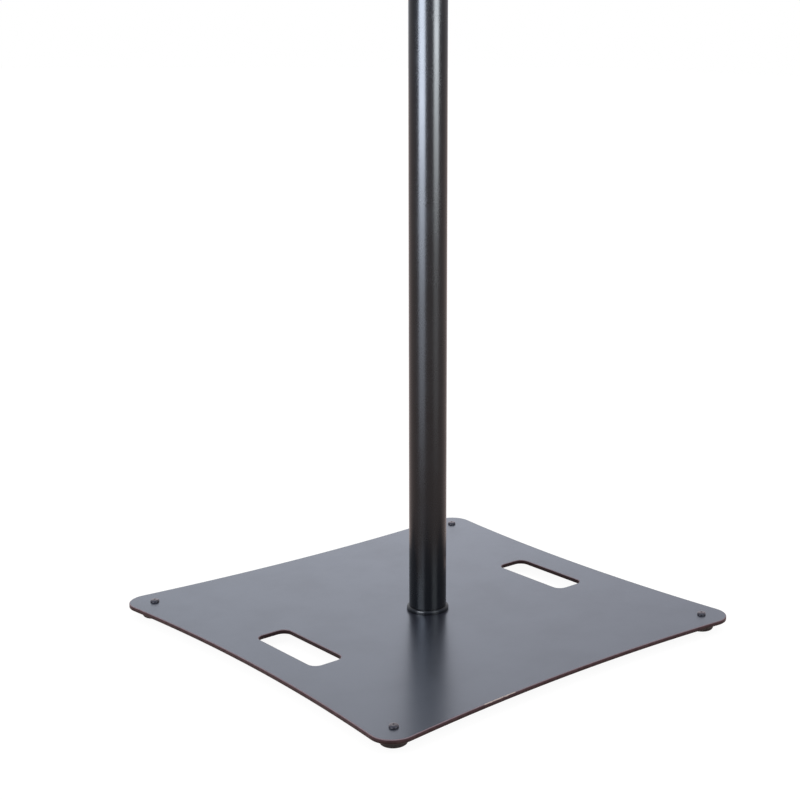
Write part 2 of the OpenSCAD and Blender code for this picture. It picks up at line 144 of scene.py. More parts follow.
# Set screws and their holes
SET_SCREW_Z, SET_SCREW_R, SET_SCREW_SUNK = 1078.0, 3.0, 0.35
SET_HOLE_R, SET_MOUTH_R, SET_HOLE_BACK = 3.1, 3.8, 20.0
KEY_FLATS, KEY_DEPTH = 3.0, 3.0

# Bosses of the clamping screws
BOSS_SUNK, BOSS_CHAMFER, BOSS_HOLE_DEPTH = 3.0, 0.9, 5.0
STUD_PLAY = 0.08

# Head socket
HEAD_LOW, HEAD_TOP = 1140.3, 1256.3
SKIRT_R, SKIRT_BORE_R, BARREL_R, BARREL_LOW = 28.025, 22.275, 23.0, 1179.3
RIM_R, RIM_LOW, RIM_BLEND_LOW = 25.0, 1249.3, 1247.3
SOCKET_R, SOCKET_FLOOR, SOCKET_CHAMFER = 14.5, 1176.3, 1.5
HEAD_BOSS_R, HEAD_BLEND = 12.5, 2.6
RIVET_Z, RIVET_R, RIVET_BACK, RIVET_HEAD_R = 1154.3, 2.4, 19.225, 4.8
SPOT_R, SPOT_FLOOR = 5.1, 27.225
HEAD_SCREW_Z = 1216.3
HEAD_FACE, HEAD_HUB, PAD_BACK = 36.0, 40.5, 20.8

# Knobs and studs
KNOB_R, HUB_R, HUB_H, KNOB_H = 25.0, 12.0, 8.0, 16.0
LOBES, LOBE_R, HOLLOW_R = 5, 7.5, 9.0
KNOB_SHOULDER_R, DISH_RIM_R, DISH_R, DISH_DEPTH = 18.0, 11.8, 11.0, 1.0
STUD_R, STUD_ROOT_R, PITCH, STUD_EMBED = 5.0, 4.1, 1.5, 17.0
THREAD_STEPS = 28
TIP_R, TIP_L = 3.0, 3.2


# Mesh work

def bevel(bm, edges, width, segments=3):
    bmesh.ops.bevel(bm, geom=edges, offset=width, offset_type="OFFSET", affect="EDGES",
                    segments=segments, profile=0.5, material=-1, clamp_overlap=True, loop_slide=True)


def place(bm, matrix):
    bmesh.ops.transform(bm, matrix=matrix, verts=bm.verts)
    return bm


def facing_front(z):
    """Turns a shape's Z to -Y, and lifts it to height z: its heights become distances from the axis."""
    return Matrix.Translation(z * Z) @ Matrix.Rotation(FULL_TURN / 4, 4, "X")


def facing_out(turn, z):
    """As facing_front, turned about the axis: no turn faces +Y."""
    to_y = Matrix.Rotation(-FULL_TURN / 4, 4, "X")
    return Matrix.Rotation(turn, 4, "Z") @ Matrix.Translation(z * Z) @ to_y


def turned(profile, steps):
    """A solid turned about Z from corners of (radius, height, rounding).

    A profile whose ends aren't on the axis is closed, and makes a ring.
    """
    bm = bmesh.new()
    points = [bm.verts.new((r, 0, z)) for r, z, _ in profile]
    ends_on_axis = profile[0][0] == 0 and profile[-1][0] == 0
    following = points[1:] if ends_on_axis else points[1:] + points[:1]
    lines = [bm.edges.new(pair) for pair in zip(points, following)]
    bmesh.ops.spin(bm, geom=points + lines, cent=ORIGIN, axis=Z, angle=FULL_TURN, steps=steps,
                   use_merge=True)
    bmesh.ops.remove_doubles(bm, verts=bm.verts, dist=CLOSE)
    bmesh.ops.recalc_face_normals(bm, faces=bm.faces)
    for r, z, rounding in profile:
        if rounding:
            bevel(bm, ring_at(bm, r, z), rounding, 3 if rounding < 2 else 6)
    return bm


def rod(r, low, top, steps):
    return turned([(0, low, 0), (r, low, 0), (r, top, 0), (0, top, 0)], steps)


def ring_at(bm, r, z):
    """The edges that run round the axis at this radius and height."""
    def near(vert):
        return abs(vert.co.z - z) < CLOSE and abs(vert.co.xy.length - r) < CLOSE
    return [e for e in bm.edges if all(near(v) for v in e.verts)]


def block(size, centre):
    bm = bmesh.new()
    bmesh.ops.create_cube(bm, size=1)
    return place(bm, Matrix.Translation(centre) @ Matrix.Diagonal((*size, 1)))


def hexagon(flats, low, high):
    """A six-sided bar along Z."""
    bm = bmesh.new()
    r = flats / math.cos(FULL_TURN / 12) / 2
    bmesh.ops.create_cone(bm, cap_ends=True, segments=6, radius1=r, radius2=r, depth=high - low)
    return place(bm, Matrix.Translation((low + high) / 2 * Z))


def joined(*shapes):
    """One bmesh that holds every shape. The shapes are used up."""
    whole = bmesh.new()
    for shape in shapes:
        passing = bpy.data.meshes.new("passing")
        shape.to_mesh(passing)
        shape.free()
        whole.from_mesh(passing)
        bpy.data.meshes.remove(passing)
    return whole


def copied(shape, matrices):
    """The shape at each of these places."""
    return joined(*[place(shape.copy(), matrix) for matrix in matrices])


def cut(bm, tool):
    """The solid bm less the solid tool."""
    solids = []
    for name, shape in (("stock", bm), ("cutter", tool)):
        mesh = bpy.data.meshes.new(name)
        shape.to_mesh(mesh)
        shape.free()
        solids.append(bpy.data.objects.new(name, mesh))
        bpy.context.scene.collection.objects.link(solids[-1])
    stock, cutter = solids
    step = stock.modifiers.new("cut", "BOOLEAN")
    step.operation, step.solver, step.object = "DIFFERENCE", "EXACT", cutter
    result = bmesh.new()
    result.from_object(stock, bpy.context.evaluated_depsgraph_get())
    for solid in solids:
        mesh = solid.data
        bpy.data.objects.remove(solid)
        bpy.data.meshes.remove(mesh)
    return result


def finish_piece(name, bm, body, slot, nodes, *finishes):
    """Makes the shape an object in metres that stands for its CAD nodes and rides on their body."""
    place(bm, Matrix.Scale(MM, 4))
    mesh = bpy.data.meshes.new(name)
    bm.to_mesh(mesh)
    bm.free()
    mesh.polygons.foreach_set("use_smooth", [True] * len(mesh.polygons))
    mesh.set_sharp_from_angle(angle=SHARP_ANGLE)
    for finish in finishes:
        mesh.materials.append(finish)
    piece = bpy.data.objects.new(name, mesh)
    bpy.context.scene.collection.objects.link(piece)
    normals = piece.modifiers.new("normals", "WEIGHTED_NORMAL")
    normals.keep_sharp = True
    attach(piece, body)
    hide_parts(*nodes)
    return piece


# Materials

class Value:
    """An output of a node, so that shader maths reads as plain sums."""

    def __init__(self, maker, socket):
        self.maker, self.socket = maker, socket

    def maths(self, operation, *values):
        return self.maker.node("ShaderNodeMath", {"operation": operation}, dict(enumerate(values)))

    def __add__(self, other):
        return self.maths("ADD", self, other)

    def __sub__(self, other):
        return self.maths("SUBTRACT", self, other)

    def __rsub__(self, other):
        return self.maths("SUBTRACT", other, self)

    def __mul__(self, other):
        return self.maths("MULTIPLY", self, other)

    __radd__, __rmul__ = __add__, __mul__


class NodeMaker:
    """Adds nodes to one tree."""

    def __init__(self, tree):
        self.tree = tree

    def node(self, kind, settings=(), sockets=(), output=0):
        made = self.tree.nodes.new(kind)
        for key, value in dict(settings).items():
            setattr(made, key, value)
        for key, value in dict(sockets).items():
            self.feed(made.inputs[key], value)
        return Value(self, made.outputs[output])

    def feed(self, socket, value):
        if isinstance(value, Value):
            self.tree.links.new(value.socket, socket)
        else:
            socket.default_value = value

    def band(self, value, low, high):
        """0 at low and 1 at high, held past them."""
        return self.node("ShaderNodeMapRange", {"clamp": True}, {0: value, 1: low, 2: high})

    def mix(self, share, first, second):
        return self.node("ShaderNodeMix", {"data_type": "RGBA"}, {0: share, 6: first, 7: second}, 2)

    def ray_is(self, kind):
        return self.node("ShaderNodeLightPath", output="Is " + kind + " Ray")


class Finish(NodeMaker):
    """One procedural material. Patterns are given by the size of their marks, in millimetres."""

    def __init__(self, name, **constants):
        self.material = bpy.data.materials.new(name)
        self.material.use_nodes = True
        super().__init__(self.material.node_tree)
        self.shader = self.tree.nodes["Principled BSDF"]
        for socket, value in constants.items():
            self.shader.inputs[socket.replace("_", " ")].default_value = value
        self.spot = self.node("ShaderNodeTexCoord", output="Object")

    def noise(self, size, detail):
        sockets = {"Vector": self.spot, "Scale": 1 / (size * MM), "Detail": detail}
        return self.node("ShaderNodeTexNoise", {}, sockets)

    def height_band(self, low, high):
        """0 at one height and 1 at another, in millimetres."""
        height = self.node("ShaderNodeSeparateXYZ", {}, {0: self.spot}, "Z")
        return self.band(height, low * MM, high * MM)

    def near(self, point, reach):
        """1 at a point, falling to 0 at this reach from it."""
        sockets = {0: self.spot, 1: tuple(c * MM for c in point)}
        distance = self.node("ShaderNodeVectorMath", {"operation": "DISTANCE"}, sockets, "Value")
        return self.band(distance, reach * MM, 0)

    def give(self, socket, value):
        self.feed(self.shader.inputs[socket], value)

    def bump(self, height, depth):
        """Raises the surface by height times depth, in millimetres."""
        self.give("Normal", self.node("ShaderNodeBump", {}, {"Height": height, "Distance": depth * MM}))


def grey(value, tint=(1, 1, 1)):
    return (*[value * t for t in tint], 1)


def powder_coat(name, colour, roughness, grain, depth, dusty=1.0, **constants):
    """Satin powder coat: fine grain over a slow orange peel, with faint handling marks and some dust."""
    coat = Finish(name, **constants)
    peel = coat.noise(grain * 5, 2)
    fine = coat.noise(grain, 3)
    marks = coat.band(coat.noise(70, 4), 0.42, 0.7)
    dust = dusty * coat.band(coat.noise(2.2, 3), 0.6, 0.8) * coat.band(coat.noise(160, 3), 0.35, 0.7)
    dark, light = (tuple(c * k for c in colour) + (1,) for k in (0.92, 1.12))
    shade = coat.mix(fine, dark, light)
    coat.give("Base Color", coat.mix(dust * 0.1, shade, grey(0.18, (1, 0.98, 0.94))))
    coat.give("Roughness", roughness + 0.06 * marks + 0.05 * (fine - 0.5) + 0.12 * dust)
    coat.bump(0.6 * fine + 0.4 * peel, depth)
    return coat


def base_coat():
    return powder_coat("base_coat", (0.017, 0.015, 0.018), 0.32, 1.3, 0.030, IOR=1.55, Coat_Weight=1.0,
                       Coat_Roughness=0.24, Coat_IOR=1.5, Coat_Tint=(0.80, 0.88, 1.0, 1)).material


def edge_coat():
    """The coat on the plate's cut edges: thin and brown, and chipped in a few places as in the photo.
    Painted shade darkens the sides towards the bottom and darkens the walls of the hand slots further,
    and a painted highlight runs along the top rim.
    """
    coat = Finish("edge_coat", IOR=1.22)
    fine = coat.noise(1.1, 3)
    thin = coat.band(coat.noise(9, 3), 0.35, 0.7)
    # Painted shade: the cut edges go from lighter colours at the top to nearly black at the bottom
    shade_rise = coat.height_band(PLATE_LOW, PLATE_TOP - 0.4)
    lip = coat.height_band(PLATE_TOP - 1.3, PLATE_TOP - 0.6)
    worn = coat.band(coat.near(WORN_SPOT, WORN_REACH), 0, 0.3) * lip
    chip = coat.band(coat.noise(5.5, 3) + 0.44 * worn, 0.80, 0.88)
    shaded_low_side = coat.mix(thin, (0.008, 0.0050, 0.0028, 1), (0.020, 0.0125, 0.0075, 1))
    lit_high_side = coat.mix(thin, (0.062, 0.030, 0.036, 1), (0.100, 0.052, 0.062, 1))
    # Painted shade: the walls of the hand slots are painted darker than the outer edges, and darkest at
    # their bottom
    in_slot = coat.band(coat.near((0, 0, PLATE_LOW), SLOTS_REACH), 0.06, 0.12)
    shaded_slot_side = coat.mix(shade_rise, (0.003, 0.001, 0.002, 1), (0.034, 0.016, 0.018, 1))
    # Painted highlight: a lighter rosy line along the top of the cut edges
    rim = coat.height_band(PLATE_TOP - 0.9, PLATE_TOP - 0.3)
    side = coat.mix(in_slot, coat.mix(shade_rise, shaded_low_side, lit_high_side), shaded_slot_side)
    side = coat.mix(rim, side, (0.28, 0.21, 0.24, 1))
    coat.give("Base Color", coat.mix(chip, side, (0.60, 0.50, 0.47, 1)))
    coat.give("Roughness", 0.46 - 0.10 * thin + 0.2 * chip)
    coat.bump(fine - 1.5 * chip, 0.05)
    return coat.material


def tube_coat():
    return powder_coat("tube_coat", (0.0040, 0.0040, 0.0045), 0.25, 1.6, 0.001, 0.1, IOR=1.36).material


def ring_coat():
    return powder_coat("ring_coat", (0.006, 0.006, 0.007), 0.22, 1.3, 0.005, 0.3, IOR=1.37).material


def cast_coat():
    """Coated casting: coarser grain, with the smooth dips that a casting keeps."""
    coat = Finish("cast_coat", IOR=1.5)
    grain, dips = coat.noise(0.9, 4), coat.noise(7, 2)
    worn = coat.band(coat.noise(26, 4), 0.5, 0.75)
    coat.give("Base Color", coat.mix(grain, (0.020, 0.021, 0.024, 1), (0.030, 0.031, 0.035, 1)))
    coat.give("Roughness", 0.34 + 0.10 * grain - 0.06 * worn)
    coat.bump(0.5 * grain + 0.5 * dips, 0.12)
    return coat.material


def black_screw():
    """Blackened steel under oil, rubbed paler in spots."""
    steel = Finish("black_screw", IOR=1.6, Coat_Weight=1.0, Coat_Roughness=0.30, Coat_IOR=1.5,
                   Coat_Tint=(1.0, 0.88, 0.90, 1))
    rubbed = steel.band(steel.noise(2.4, 4), 0.52, 0.72)
    steel.give("Base Color", steel.mix(rubbed, (0.014, 0.012, 0.014, 1), (0.040, 0.032, 0.034, 1)))
    steel.give("Metallic", 0.3 * rubbed)
    steel.give("Roughness", 0.40 - 0.08 * rubbed)
    steel.bump(steel.noise(0.5, 3), 0.02)
    return steel.material


def zinc_steel():
    """Bright zinc plate with a faint bloom and fine turning lines."""
    steel = Finish("zinc_steel", Metallic=1.0)
    bloom = steel.band(steel.noise(6, 4), 0.35, 0.7)
    lines = steel.noise(0.25, 2)
    steel.give("Base Color", steel.mix(bloom, (0.60, 0.61, 0.64, 1), (0.50, 0.50, 0.50, 1)))
    steel.give("Roughness", 0.24 + 0.16 * bloom + 0.06 * lines)
    steel.bump(lines, 0.008)
    return steel.material


def foot_rubber():
    """Black rubber with a brown cast, dusty towards the floor."""
    rubber = Finish("foot_rubber", IOR=1.4)
    grain = rubber.noise(0.7, 4)
    low = rubber.height_band(7, 0.5)
    dust = low * rubber.band(rubber.noise(3, 4), 0.45, 0.7)
    dark = rubber.mix(grain, (0.016, 0.013, 0.012, 1), (0.030, 0.025, 0.022, 1))
    rubber.give("Base Color", rubber.mix(dust * 0.35, dark, (0.16, 0.145, 0.13, 1)))
    rubber.give("Roughness", 0.62 + 0.15 * grain + 0.1 * dust)
    rubber.bump(grain, 0.06)
    return rubber.material


def bush_plastic():
    """Natural glide plastic, with the sheen that sliding gives it."""
    plastic = Finish("bush_plastic", IOR=1.48)
    slow, fine = plastic.noise(14, 3), plastic.noise(0.8, 2)
    plastic.give("Base Color", plastic.mix(slow, (0.70, 0.69, 0.63, 1), (0.76, 0.75, 0.70, 1)))
    plastic.give("Roughness", 0.34 + 0.14 * slow)
    plastic.bump(fine, 0.015)
    return plastic.material


def knob_plastic():
    """Moulded black plastic with the fine texture of its mould, polished by hands on the high parts."""
    plastic = Finish("knob_plastic", IOR=1.5)
    texture = plastic.noise(0.45, 3)
    handled = plastic.band(plastic.noise(18, 3), 0.40, 0.68)
    plastic.give("Base Color", plastic.mix(texture, (0.018, 0.018, 0.020, 1), (0.032, 0.032, 0.034, 1)))
    plastic.give("Roughness", 0.46 + 0.12 * texture - 0.14 * handled)
    plastic.bump(texture, 0.05)
    return plastic.material


def pad_brass():
    """Turned brass, a little tarnished."""
    brass = Finish("pad_brass", Metallic=1.0)
    tarnish = brass.band(brass.noise(4, 4), 0.4, 0.7)
    lines = brass.noise(0.2, 2)
    brass.give("Base Color", brass.mix(tarnish, (0.78, 0.60, 0.29, 1), (0.52, 0.38, 0.18, 1)))
    brass.give("Roughness", 0.22 + 0.2 * tarnish + 0.06 * lines)
    brass.bump(lines, 0.01)
    return brass.material


FINISHES = {make.__name__: make() for make in (
    base_coat, tube_coat, cast_coat, black_screw, zinc_steel, foot_rubber, bush_plastic, knob_plastic,
    pad_brass)}
EDGE_COAT = edge_coat()


# Base

def plate_outline(bm):
    """Rounded corners joined by arcs that bow inward, as edges at the plate's underside."""
    bow_r = (HALF ** 2 + SIDE_BOW ** 2) / (2 * SIDE_BOW)
    bow_centre = HALF - SIDE_BOW + bow_r
    reach = bow_r + CORNER_R
    corner = (bow_centre - math.sqrt(2 * reach ** 2 - bow_centre ** 2)) / 2
    lean = math.asin(corner / reach)
    centre = Vector((corner, corner, PLATE_LOW))
    end = bm.verts.new(centre + CORNER_R * Vector((math.cos(lean), -math.sin(lean), 0)))
    for middle, angle, steps in (
            (centre, FULL_TURN / 4 + 2 * lean, CORNER_STEPS),
            (Vector((0, bow_centre, PLATE_LOW)), -2 * lean, BOW_STEPS)):
        swept = bmesh.ops.spin(bm, geom=[end], cent=middle, axis=Z, angle=angle, steps=steps)
        end = next(v for v in swept["geom_last"] if isinstance(v, bmesh.types.BMVert))
    bmesh.ops.spin(bm, geom=bm.verts[:] + bm.edges[:], cent=ORIGIN, axis=Z,
                   angle=FULL_TURN * 3 / QUARTERS, steps=QUARTERS - 1, use_duplicate=True)


def slot_outline(bm, x):
    """A rounded rectangle of edges, cut by vertex bevels from a plain one."""
    made = bmesh.ops.create_grid(bm, x_segments=1, y_segments=1, size=0.5)
    matrix = Matrix.Translation((x, 0, PLATE_LOW)) @ Matrix.Diagonal((SLOT_W, SLOT_L, 1, 1))
    bmesh.ops.transform(bm, matrix=matrix, verts=made["verts"])
    bmesh.ops.bevel(bm, geom=made["verts"], offset=SLOT_R, offset_type="OFFSET", affect="VERTICES",
                    segments=8, profile=0.5, material=-1)
    bmesh.ops.delete(bm, geom=bm.faces[:], context="FACES_ONLY")


def base_plate():
    bm = bmesh.new()
    plate_outline(bm)
    for x in (-SLOT_X, SLOT_X):
        slot_outline(bm, x)
    bmesh.ops.remove_doubles(bm, verts=bm.verts, dist=JOIN)
    bmesh.ops.triangle_fill(bm, use_beauty=True, edges=bm.edges[:], normal=Z)
    raised = bmesh.ops.extrude_face_region(bm, geom=bm.faces[:])["geom"]
    top = [v for v in raised if isinstance(v, bmesh.types.BMVert)]
    bmesh.ops.translate(bm, vec=(PLATE_TOP - PLATE_LOW) * Z, verts=top)
    bmesh.ops.recalc_face_normals(bm, faces=bm.faces)
    bmesh.ops.dissolve_limit(bm, angle_limit=math.radians(0.1), verts=[], edges=[
        e for e in bm.edges if all(abs(f.normal.z) > 0.9 for f in e.link_faces)])
    rims = [e for e in bm.edges if len({abs(f.normal.z) > 0.9 for f in e.link_faces}) == 2]
    bevel(bm, rims, PLATE_EDGE)
    low, high = PLATE_LOW - PAST, PLATE_TOP + PAST
    hole = rod(SCREW_HOLE_R, low, high, 32)
    sink = turned([(0, low, 0), (SINK_R, low, 0), (SINK_NECK_R, PLATE_LOW + SINK_DEPTH, 0),
                   (SINK_NECK_R, high, 0), (0, high, 0)], 48)
    bm = cut(bm, joined(copied(hole, at_corners()), copied(sink, at_plug_screws())))
    for face in bm.faces:
        face.material_index = 1 if abs(face.normal.z) < 0.98 else 0
    return bm


def at_corners():
    return [Matrix.Translation((x, y, 0)) for x in (-SCREW_AT, SCREW_AT) for y in (-SCREW_AT, SCREW_AT)]


def at_plug_screws():
    outward = Matrix.Translation((PLUG_SCREW_AT, 0, 0))
    turns = [FULL_TURN * (0.125 + i / QUARTERS) for i in range(QUARTERS)]
    return [Matrix.Rotation(turn, 4, "Z") @ outward for turn in turns]


def rubber_foot():
    """Tapered foot with a moulded lip under the plate, a groove and a recess for its nut."""
    return turned([
        (FOOT_BORE_R, RECESS_TOP, 0), (RECESS_R, RECESS_TOP, 0.4), (RECESS_R, 0, 0.5),
        (FOOT_FLOOR_R, 0, 3.0), (GROOVE_R + 0.35, GROOVE_LOW, 0.3), (GROOVE_R, GROOVE_Z, 0.3),
        (GROOVE_R + 0.6, GROOVE_TOP, 0.3), (FOOT_R - 0.3, LIP_LOW, 0.3), (FOOT_R, LIP_Z, 0.4),
        (FOOT_R, PLATE_LOW, 0.3), (FOOT_BORE_R, PLATE_LOW, 0)], 64)


def pan_head_screw():
    """Pan head with a cross recess, over its shank."""
    head_top = PLATE_TOP + PAN_H
    screw = turned([
        (0, SHANK_LOW, 0), (SHANK_R, SHANK_LOW, 0.4), (SHANK_R, PLATE_TOP, 0), (PAN_R, PLATE_TOP, 0.2),
        (PAN_R, head_top, 2.1), (0, head_top, 0)], 48)
    for size in ((CROSS_L, CROSS_W, CROSS_H), (CROSS_W, CROSS_L, CROSS_H)):
        arm = block(size, head_top * Z)
        for vert in arm.verts:
            if vert.co.z < head_top:
                vert.co.xy *= CROSS_TAPER
        screw = cut(screw, place(arm, Matrix.Rotation(FULL_TURN / 8, 4, "Z")))
    return screw


def tube_foot():
    """Ring with a rounded shoulder, a shallow seat at the tube's end, and the plug inside the tube."""
    return turned([
        (0, PLATE_TOP, 0), (RING_R, PLATE_TOP, 0.4), (RING_R, RING_TOP, 3.1), (SEAT_R, RING_TOP, 0),
        (SEAT_R, SEAT_Z, 0), (PLUG_R, SEAT_Z, 0), (PLUG_R, PLUG_TOP - PLUG_CHAMFER, 0.3),
        (PLUG_R - PLUG_CHAMFER, PLUG_TOP, 0.3), (PLUG_BORE_R, PLUG_TOP, 0.5),
        (PLUG_BORE_R, RING_TOP, 0), (0, RING_TOP, 0)], 128)


def tube(r, wall, low, top):
    corners = (r - wall, low), (r, low), (r, top), (r - wall, top)
    return turned([(*corner, TUBE_EDGE) for corner in corners], 128)


# Collar and head

def boss(r, barrel_r, face, blend):
    """A boss along Z, with the hole of its stud, whose foot is blended into a barrel along Y."""
    hole_r = STUD_R + STUD_PLAY
    flange = r + blend + 0.2
    back, foot = barrel_r - BOSS_SUNK, barrel_r + JOIN
    floor_z = face - BOSS_HOLE_DEPTH
    bm = turned([
        (0, back, 0), (flange, back, 0), (flange, foot, 0), (r, foot, blend), (r, face, 1.2),
        (hole_r + BOSS_CHAMFER, face, 0.2), (hole_r, face - BOSS_CHAMFER, 0), (hole_r, floor_z, 0),
        (0, floor_z, 0)], 96)
    for vert in bm.verts:
        if vert.co.z < barrel_r + blend + 0.1 and vert.co.xy.length > hole_r + 1:
            vert.co.z -= barrel_r - math.sqrt(barrel_r ** 2 - vert.co.x ** 2)
    return bm


def locking_collar():
    """Turned collar with a groove, three set screw holes, and the boss of its clamping screw."""
    body = turned([
        (COLLAR_BORE_R, COLLAR_LOW, 0.4), (COLLAR_R, COLLAR_LOW, 1.5), (COLLAR_R, BAND_LOW, 0.2),
        (COLLAR_R - BAND_DEPTH, BAND_LOW + BAND_DEPTH, 0.2),
        (COLLAR_R - BAND_DEPTH, BAND_TOP - BAND_DEPTH, 0.2), (COLLAR_R, BAND_TOP, 0.2),
        (COLLAR_R, COLLAR_CONE_LOW, 1.2), (COLLAR_HEAD_R, LOWER_TOP, 1.2),
        (COLLAR_HEAD_R, COLLAR_TOP, 3.0), (COLLAR_MOUTH_R, COLLAR_TOP, 0.5),
        (COLLAR_MOUTH_R, BUSH_SEAT_TOP, 0), (BUSH_SEAT_R, BUSH_SEAT_TOP, 0),
        (BUSH_SEAT_R, LOWER_TOP, 0), (COLLAR_BORE_R, LOWER_TOP, 0)], 128)
    mouth = COLLAR_R + 0.3
    bore = turned([
        (0, SET_HOLE_BACK, 0), (SET_HOLE_R, SET_HOLE_BACK, 0), (SET_HOLE_R, COLLAR_R - 0.5, 0),
        (SET_MOUTH_R, mouth, 0), (0, mouth, 0)], 32)
    body = cut(body, copied(bore, round_axis(SET_SCREW_Z)))
    screw_boss = boss(COLLAR_BOSS_R, COLLAR_HEAD_R, COLLAR_FACE, COLLAR_BLEND)
    return joined(body, place(screw_boss, facing_front(COLLAR_SCREW_Z)))


def round_axis(z):
    """Three places round the axis at height z that face outward, the first to +Y."""
    return [facing_out(i * FULL_TURN / 3, z) for i in range(3)]


def set_screws():
    """Headless screws with chamfered ends and hexagon sockets."""
    end = COLLAR_R - SET_SCREW_SUNK
    screw = turned([
        (0, COLLAR_BORE_R, 0), (SET_SCREW_R, COLLAR_BORE_R, 0.5),
        (SET_SCREW_R, end, 0.5), (0, end, 0)], 32)
    screw = cut(screw, hexagon(KEY_FLATS, COLLAR_R - KEY_DEPTH, COLLAR_R + PAST))
    return copied(screw, round_axis(SET_SCREW_Z))


def head_socket():
    """Cast socket: skirt, cone, barrel and rim, with spot faces for the rivets and a blended boss."""
    body = turned([
        (0, SOCKET_FLOOR, 0), (SOCKET_R, SOCKET_FLOOR, 0.8), (SOCKET_R, HEAD_TOP - SOCKET_CHAMFER, 0.3),
        (SOCKET_R + SOCKET_CHAMFER, HEAD_TOP, 0.3), (RIM_R, HEAD_TOP, 1.0), (RIM_R, RIM_LOW, 0.6),
        (BARREL_R, RIM_BLEND_LOW, 1.0), (BARREL_R, BARREL_LOW, 2.4), (SKIRT_R, UPPER_TOP, 1.6),
        (SKIRT_R, HEAD_LOW, 1.0), (SKIRT_BORE_R, HEAD_LOW, 0.4), (SKIRT_BORE_R, UPPER_TOP, 0),
        (0, UPPER_TOP, 0)], 128)
    body = cut(body, copied(rod(SPOT_R, SPOT_FLOOR, SKIRT_R + PAST, 48), round_axis(RIVET_Z)))
    screw_boss = boss(HEAD_BOSS_R, BARREL_R, HEAD_FACE, HEAD_BLEND)
    return joined(body, place(screw_boss, facing_front(HEAD_SCREW_Z)))


def rivets():
    """Domed blind rivets, each with the dimple that its mandrel leaves."""
    rivet = turned([
        (0, RIVET_BACK, 0), (RIVET_R, RIVET_BACK, 0), (RIVET_R, SPOT_FLOOR, 0),
        (RIVET_HEAD_R, SPOT_FLOOR, 0.15), (RIVET_HEAD_R, 27.6, 0.1), (3.6, 28.5, 0.5),
        (1.5, 28.825, 0.1), (1.1, 28.3, 0.1), (0, 28.3, 0)], 48)
    return copied(rivet, round_axis(RIVET_Z))


def lobe_reach(angle):
    """Radius of the knob's outline: arcs of lobes and hollows that touch between their centres."""
    step = FULL_TURN / (2 * LOBES)
    lobe_at = KNOB_R - LOBE_R
    span = LOBE_R + HOLLOW_R
    hollow_at = lobe_at * math.cos(step) + math.sqrt(span ** 2 - (lobe_at * math.sin(step)) ** 2)
    away = abs((angle + step) % (2 * step) - step)
    hollow = Vector((hollow_at * math.cos(step), hollow_at * math.sin(step)))
    touch = Vector((lobe_at, 0)).lerp(hollow, LOBE_R / span)
    if away < math.atan2(touch.y, touch.x):
        return lobe_at * math.cos(away) + math.sqrt(LOBE_R ** 2 - (lobe_at * math.sin(away)) ** 2)
    rest = step - away
    return hollow_at * math.cos(rest) - math.sqrt(HOLLOW_R ** 2 - (hollow_at * math.sin(rest)) ** 2)


def lobed_knob(screw_z, hub):
    """Star knob with soft lobes, a crowned face and a round centre recess."""
    top = HUB_H + KNOB_H
    hole_r = STUD_R + 0.1
    bm = turned([
        (0, STUD_EMBED, 0), (hole_r, STUD_EMBED, 0), (hole_r, 0, 0.5), (HUB_R, 0, 1.0),
        (HUB_R, HUB_H, 1.4), (KNOB_R, HUB_H + 0.4, 3.0), (KNOB_R, top - 1.2, 4.0),
        (KNOB_SHOULDER_R, top - 0.35, 1.0), (DISH_RIM_R, top, 0.6), (DISH_R, top - 0.8, 0.3),
        (0, top - DISH_DEPTH, 0)], 180)
    for vert in bm.verts:
        r = vert.co.xy.length
        if r > HUB_R:
            share = (lobe_reach(math.atan2(vert.co.y, vert.co.x)) - HUB_R) / (KNOB_R - HUB_R)
            vert.co.xy *= (HUB_R + (r - HUB_R) * share) / r
    return place(bm, facing_front(screw_z) @ Matrix.Translation(hub * Z))


def threaded_stud(screw_z, back, end):
    """Stud with a real thread, and a smooth tip that turns in its shoe or pad."""
    thread = bmesh.new()
    corners = [thread.verts.new((r, 0, back + z)) for r, z in (
        (STUD_ROOT_R, 0), (STUD_ROOT_R, 0.2), (STUD_R, 0.7), (STUD_R, 0.95), (STUD_ROOT_R, PITCH))]
    flanks = [thread.edges.new(pair) for pair in zip(corners, corners[1:])]
    turns = int((end - back) / PITCH) - 1
    bmesh.ops.spin(thread, geom=corners + flanks, cent=ORIGIN, axis=Z, dvec=PITCH / THREAD_STEPS * Z,
                   angle=FULL_TURN * turns, steps=THREAD_STEPS * turns)
    bmesh.ops.remove_doubles(thread, verts=thread.verts, dist=CLOSE)
    bmesh.ops.holes_fill(thread, edges=[e for e in thread.edges if e.is_boundary], sides=0)
    bmesh.ops.recalc_face_normals(thread, faces=thread.faces)
    tip = turned([
        (0, back - TIP_L, 0), (TIP_R, back - TIP_L, 0.4),
        (TIP_R, back + PAST, 0), (0, back + PAST, 0)], 32)
    return place(joined(thread, tip), facing_front(screw_z))


finish_piece("plate", base_plate(), "base", "base_coat",
             ["base_plate"], FINISHES["base_coat"], EDGE_COAT)
for node in ("foot_front_left", "foot_front_right", "foot_rear_left", "foot_rear_right"):
    low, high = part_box(node)
    middle = (low + high) / 2 / MM
    foot = place(rubber_foot(), Matrix.Translation((middle.x, middle.y, 0)))
    finish_piece("rubber_" + node, foot, "base", "foot_rubber", [node], FINISHES["foot_rubber"])
finish_piece("pan_head_screws", copied(pan_head_screw(), at_corners()), "base", "black_screw",
             ["foot_screws"], FINISHES["black_screw"])
finish_piece("foot_ring", tube_foot(), "base", "tube_coat", ["tube_foot"], ring_coat())
finish_piece("outer_tube", tube(LOWER_R, LOWER_WALL, LOWER_LOW, LOWER_TOP), "base", "tube_coat",
             ["lower_tube"], FINISHES["tube_coat"])
finish_piece("collar", locking_collar(), "base", "cast_coat", ["locking_collar"], FINISHES["cast_coat"])
